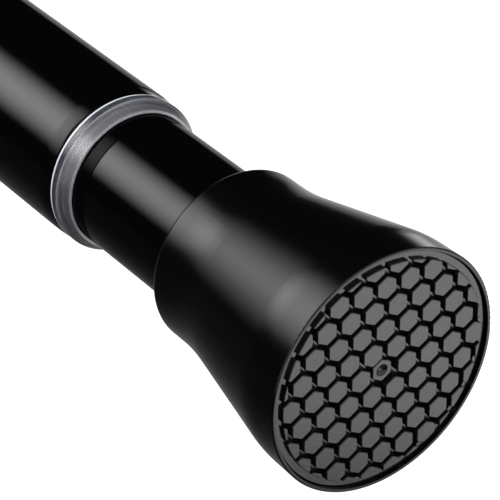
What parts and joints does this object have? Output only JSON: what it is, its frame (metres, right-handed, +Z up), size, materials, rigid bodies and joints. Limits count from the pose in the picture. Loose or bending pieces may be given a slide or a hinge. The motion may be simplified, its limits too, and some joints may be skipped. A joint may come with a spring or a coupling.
{
  "type": "spring tension rod",
  "caption": "Telescopic spring tension rod with flared moulded end caps, stud-faced grip pads, a clear guide collar and a twist lock inside.",
  "frame": {"origin": "middle of the fixed end cap's wall face, on the rod's axis", "axes": "+X along the rod from the fixed end cap to the sliding end cap, +Z up, +Y across to the back"},
  "size_m": [0.4144, 0.0372, 0.0372],
  "materials": {
    "tube_black": "smooth black coating, semi-gloss",
    "cap_black": "moulded black plastic, soft gloss",
    "pad_black": "black elastomer, satin",
    "collar_clear": "clear moulded plastic",
    "nylon_white": "natural nylon",
    "zinc_steel": "bright zinc plate",
    "spring_steel": "oiled spring steel"
  },
  "bodies": {
    "outer": {"outer_tube": "tube_black", "guide_collar": "collar_clear", "fixed_end_cap": "cap_black", "fixed_grip_pad": "pad_black"},
    "expander": {"expander_sleeve": "nylon_white"},
    "cone": {"cone_nut": "nylon_white"},
    "screw": {"screw_spindle": "zinc_steel", "thrust_washer": "zinc_steel", "retaining_clip": "spring_steel", "stop_nut": "zinc_steel", "spring_pusher": "zinc_steel", "tail_nut": "zinc_steel"},
    "inner": {"inner_tube": "tube_black", "tube_bush": "nylon_white", "bush_pins": "zinc_steel", "compression_spring": "spring_steel", "seat_washer": "zinc_steel", "spring_anchor": "nylon_white", "anchor_pins": "zinc_steel", "sliding_end_cap": "cap_black", "sliding_grip_pad": "pad_black"}
  },
  "joints": [
    {"name": "telescope", "type": "slide", "parent": "outer", "child": "expander", "axis": [1, 0, 0], "range_m": [-0.008, 0.1952]},
    {"name": "lock_twist", "type": "hinge", "parent": "expander", "child": "screw", "pos_m": [0.0583, 0, 0], "axis": [1, 0, 0], "range_deg": [0, 360]},
    {"name": "cone_travel", "type": "slide", "parent": "expander", "child": "cone", "axis": [1, 0, 0], "range_m": [0, 0.00201]},
    {"name": "spring_stroke", "type": "slide", "parent": "screw", "child": "inner", "axis": [1, 0, 0], "range_m": [-0.016, 0], "stiffness_N_per_m": 3200, "springref_m": 0.004, "deforming": ["compression_spring"]}
  ],
  "couplings": [
    {"joint": "cone_travel", "follows": "lock_twist", "m_per_rad": 0.00031831}
  ]
}
